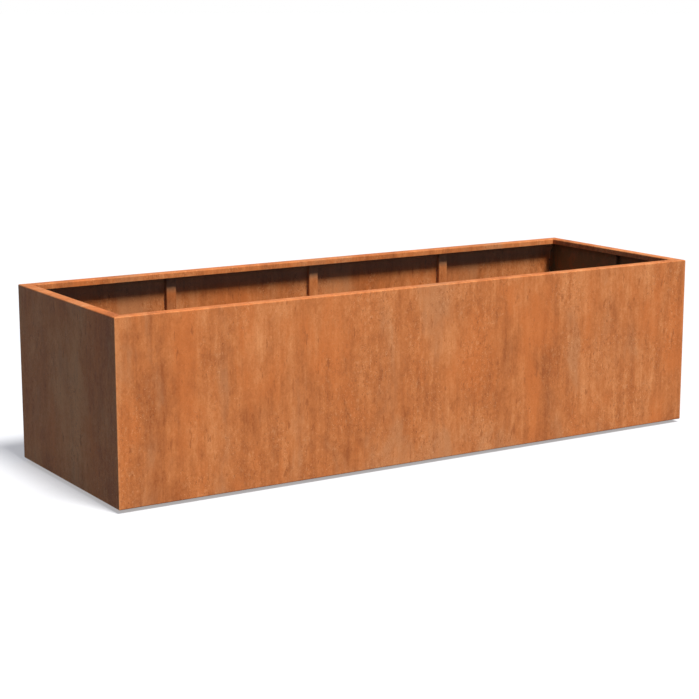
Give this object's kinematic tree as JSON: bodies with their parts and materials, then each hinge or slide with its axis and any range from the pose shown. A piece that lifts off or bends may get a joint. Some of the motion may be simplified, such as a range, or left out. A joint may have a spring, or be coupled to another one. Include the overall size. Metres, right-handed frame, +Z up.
{
  "type": "planter box",
  "caption": "Long rectangular street planter in weathering steel: folded walls with an inturned rim, inner ribs and tie bars, a drained floor tray on bearers, and rubber feet.",
  "frame": {"origin": "centre of the footprint, on the ground", "axes": "+X along the length, +Y towards the back wall, +Z up"},
  "size_m": [3, 1, 0.8],
  "materials": {
    "wall_steel": "matte",
    "frame_steel": "matte",
    "floor_steel": "matte",
    "weld_metal": "matte",
    "zinc_plate": "satin",
    "rubber": "matte"
  },
  "bodies": {
    "root": {"front_panel": "wall_steel", "back_panel": "wall_steel", "left_end_panel": "wall_steel", "right_end_panel": "wall_steel", "front_rib_left": "frame_steel", "front_rib_centre": "frame_steel", "front_rib_right": "frame_steel", "back_rib_left": "frame_steel", "back_rib_centre": "frame_steel", "back_rib_right": "frame_steel", "left_end_rib": "frame_steel", "right_end_rib": "frame_steel", "tie_bar_left": "frame_steel", "tie_bar_centre": "frame_steel", "tie_bar_right": "frame_steel", "tie_lugs": "frame_steel", "floor_tray_left": "floor_steel", "floor_tray_right": "floor_steel", "floor_bearer_1": "floor_steel", "floor_bearer_2": "floor_steel", "floor_bearer_3": "floor_steel", "floor_bearer_4": "floor_steel", "floor_bearer_5": "floor_steel", "foot_pads": "rubber", "foot_bolts": "zinc_plate", "foot_washers": "zinc_plate", "foot_nuts": "zinc_plate", "tie_bolts": "zinc_plate", "tie_washers": "zinc_plate", "tie_nuts": "zinc_plate", "corner_welds": "weld_metal", "mitre_welds": "weld_metal", "tab_welds": "weld_metal", "rib_welds": "weld_metal", "bearer_welds": "weld_metal", "lug_welds": "weld_metal"}
  },
  "joints": []
}
